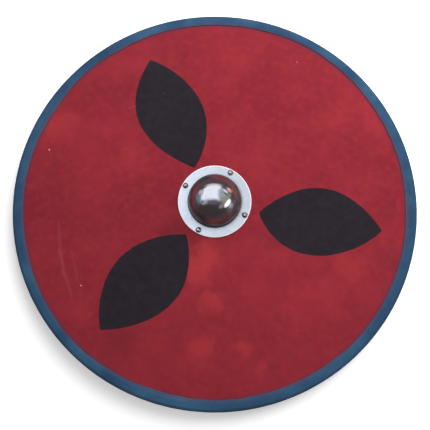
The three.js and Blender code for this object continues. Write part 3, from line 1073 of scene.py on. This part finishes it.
def makeBoss(looks):
    bm = bmesh.new()
    plan = bossShape
    flangeTop = bossBox[0].z + plan["wall"]
    flangeRadius = bossBox[1].y
    neckTop = flangeTop + plan["neckRound"]
    dome = plan["domeRadius"]
    foot = swingDome(bm, neckTop, dome, bossBox[1].z - neckTop, plan["domeSteps"])
    rings = [dome + out for out in plan["ringsOut"]] + [flangeRadius - plan["ringIn"], flangeRadius]
    run = addWire(bm, [(radius, flangeTop) for radius in [dome] + rings], foot)
    roundCorners(bm, run[:1], plan["neckRound"], 7)
    spinRound(bm, plan["steps"])
    if max(bm.faces, key=lambda f: f.calc_center_median().z).normal.z < 0:
        bmesh.ops.reverse_faces(bm, faces=bm.faces[:])
    for v in bm.verts:
        beat = noise.noise(v.co * plan["beats"]) + 0.5 * noise.noise(v.co * plan["smallBeats"])
        if v.co.z > neckTop + 1 * mm:
            v.co -= v.normal * plan["hammer"] * (0.7 + beat)
    outside = set(bm.faces)
    bmesh.ops.solidify(bm, geom=bm.faces[:], thickness=plan["wall"])
    for face in bm.faces:
        face.material_index = 0 if face in outside else 1
    rim = [e for e in bm.edges if all(v.co.xy.length > flangeRadius - 0.05 * mm for v in e.verts)
           and abs(e.verts[0].co.z - e.verts[1].co.z) < 0.05 * mm]
    bmesh.ops.bevel(bm, geom=rim, offset=plan["edgeRound"], offset_type="OFFSET", segments=3, profile=0.5,
                    affect="EDGES", clamp_overlap=True, material=-1)
    # the rounded rim takes the outer steel, so the painted highlight along the rubbed edge runs over it
    for face in bm.faces:
        if face.calc_center_median().xy.length > flangeRadius - plan["rubbedHighlightRun"]:
            face.material_index = 0
    boss = finishPiece("domedBoss", bm, [looks["bossSteel"], looks["insideSteel"]], "boss")
    drillHoles(boss, rivetSpots, bossBox[0].z - 1 * mm, flangeTop + 1 * mm)


# rivets: a round head, a shank and a tail hammered flat
rivetShape = {"steps": 36, "headRadius": 5 * mm, "headRise": 3.6 * mm, "shank": 2.5 * mm, "headSteps": 10,
              "tailRadius": 5.5 * mm, "tailThickness": 2 * mm, "tailRound": 0.8 * mm, "tailWander": 0.05,
              "tailWaves": 300.0, "dent": 0.16 * mm, "dentScale": 420.0}


def makeRivet(index, node, looks):
    bm = bmesh.new()
    plan = rivetShape
    low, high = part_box(node)
    middle = (low + high) / 2
    shank, tail = plan["shank"], plan["tailRadius"]
    headBottom = high.z - plan["headRise"]
    tailTop = low.z + plan["tailThickness"]
    foot = swingDome(bm, headBottom, plan["headRadius"], plan["headRise"], plan["headSteps"])
    corners = addWire(bm, [(shank, headBottom), (shank, tailTop), (tail, tailTop), (tail, low.z),
                           (0, low.z)], foot)
    roundCorners(bm, corners[2:4], plan["tailRound"], 3)
    spinRound(bm, plan["steps"])
    # each rivet is dented in its own way
    shift = Vector((index, 0, 0))
    for v in bm.verts:
        if v.co.z > headBottom + 1 * mm:
            v.co.z -= abs(plan["dent"] * noise.noise((v.co + shift) * plan["dentScale"]))
        elif v.co.z < tailTop and v.co.xy.length > shank:
            v.co.xy *= 1 - plan["tailWander"] * abs(noise.noise(v.co * plan["tailWaves"] + shift))
    bmesh.ops.translate(bm, verts=bm.verts[:], vec=(middle.x, middle.y, 0))
    finishPiece(f"hammeredRivet_{index + 1}", bm, [looks["rivetSteel"]], node, 45)


# grip: a whittled bar, round where the hand closes, thin where the rivets hold it
gripShape = {"padThickness": 12 * mm, "shoulderEnd": 59.9 * mm, "shoulderRun": 12 * mm, "handRound": 9 * mm,
             "padRound": 1.3 * mm, "frontRound": 1.5 * mm, "cornerRound": 11 * mm, "whittle": 0.25 * mm,
             "whittleScale": (60, 22, 60), "cuts": {(0, 1, 0): 95, (1, 0, 0): 15, (0, 0, 1): 11}}


# height of the grip's back at a distance from its middle, and how far it has turned into the pad
def gripBottom(along):
    plan = gripShape
    share = (abs(along) - plan["shoulderEnd"] + plan["shoulderRun"]) / plan["shoulderRun"]
    share = min(1.0, max(0.0, share))
    return (gripBox[1].z - plan["padThickness"]) * (0.5 - 0.5 * math.cos(math.pi * share)), share


def makeGrip(looks):
    bm = bmesh.new()
    plan = gripShape
    halfWidth, halfLength, front = gripBox[1]
    cornerRound = plan["cornerRound"]
    bmesh.ops.create_cube(bm, size=1.0)
    bmesh.ops.scale(bm, verts=bm.verts[:], vec=(2 * halfWidth, 2 * halfLength, front))
    bmesh.ops.translate(bm, verts=bm.verts[:], vec=(0, 0, front / 2))
    for direction, cuts in plan["cuts"].items():
        axis = Vector(direction)
        edges = [e for e in bm.edges
                 if abs((e.verts[0].co - e.verts[1].co).normalized().dot(axis)) > 0.99]
        bmesh.ops.subdivide_edges(bm, edges=edges, cuts=cuts, use_grid_fill=True)
    for v in bm.verts:
        x, y, z = v.co
        bottom, share = gripBottom(y)
        lowRound = plan["handRound"] + (plan["padRound"] - plan["handRound"]) * share
        wide = halfWidth
        beyond = min(abs(y) - (halfLength - cornerRound), cornerRound)
        if beyond > 0:
            wide = halfWidth - cornerRound + math.sqrt(cornerRound ** 2 - beyond ** 2)
        x *= wide / halfWidth
        z = bottom + z / front * (front - bottom)
        # the nearest point of a core, and back out by the corner's radius
        corner = min(lowRound if z < (bottom + front) / 2 else plan["frontRound"], wide)
        coreX = max(-wide + corner, min(wide - corner, x))
        coreZ = max(bottom + corner, min(front - corner, z))
        off = Vector((x - coreX, 0, z - coreZ))
        if off.length > 1e-9:
            x, z = coreX + off.normalized().x * corner, coreZ + off.normalized().z * corner
        v.co = (x, y, z)
    bm.normal_update()
    for v in bm.verts:
        cut = noise.noise(v.co * Vector(plan["whittleScale"]))
        if 1.2 * mm < v.co.z < front - 1 * mm:
            v.co -= v.normal * plan["whittle"] * (0.5 + cut)
    grip = finishPiece("whittledGrip", bm, [looks["gripWood"]], "grip", 50)
    held = [spot for spot in rivetSpots if abs(spot.x) < halfWidth]
    drillHoles(grip, held, -1 * mm, front + 1 * mm)


# floor: pale paper, a little under the grip's back
floorLook = {
    "halfSize": 9.0,
    "drop": 0.2 * mm,
    "tone": (0.93, 0.93, 0.93, 1),
    "toneLight": (0.95, 0.95, 0.95, 1),
    "glow": 0.28,
    "roughness": 0.9,
    "shine": 0.1,
}


def makeFloor():
    look = floorLook
    bm = bmesh.new()
    bmesh.ops.create_grid(bm, x_segments=8, y_segments=8, size=look["halfSize"])
    material, tree, place = newMaterial("palePaperFloor")
    paper = mixColour(tree, noiseAt(tree, place, 3.0, 2.0), look["tone"], look["toneLight"])
    feed(tree, tree.nodes["Principled BSDF"], {
        "Base Color": paper, "Roughness": look["roughness"], "Specular IOR Level": look["shine"],
        "Emission Color": (1.0, 1.0, 1.0, 1.0), "Emission Strength": look["glow"]})
    floor = newObject("floor", meshOf("floor", bm))
    floor.data.materials.append(material)
    floor.location.z = -look["drop"]
    floor.visible_glossy = False


bpy.context.scene.view_settings.view_transform = "Standard"
bpy.context.scene.view_settings.look = "None"

placeCamera()
hangLight()
makeRoom()
makeFloor()
print("camera, lights and floor are set")

shared = {"patches": makePatchGroup(), "scuffs": makeScuffGroup(), "grain": makeGrainGroup(),
          "steel": makeSteelGroup(), "leaf": makeLeafGroup(), "scratch": makeScratchGroup()}
bossLevels = {"flangeTop": bossBox[0].z + bossShape["wall"], "domeRadius": bossShape["domeRadius"],
              "flangeRadius": bossBox[1].y}
looks = {
    "redFace": makeRedFace(shared),
    "bareWood": makeBareWood(shared),
    "gripWood": makeGripWood(shared),
    "blueEdging": makeBlueEdging(shared),
    "bossSteel": makeBossSteel(shared, bossLevels),
    "insideSteel": makeInsideSteel(shared),
    "rivetSteel": makeRivetSteel(shared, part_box(rivetNodes[0])[1].z - rivetShape["headRise"]),
}
print("materials are mixed")

makeBoard(looks)
makeEdging(looks)
makeBoss(looks)
makeGrip(looks)
for number, rivetNode in enumerate(rivetNodes):
    makeRivet(number, rivetNode, looks)
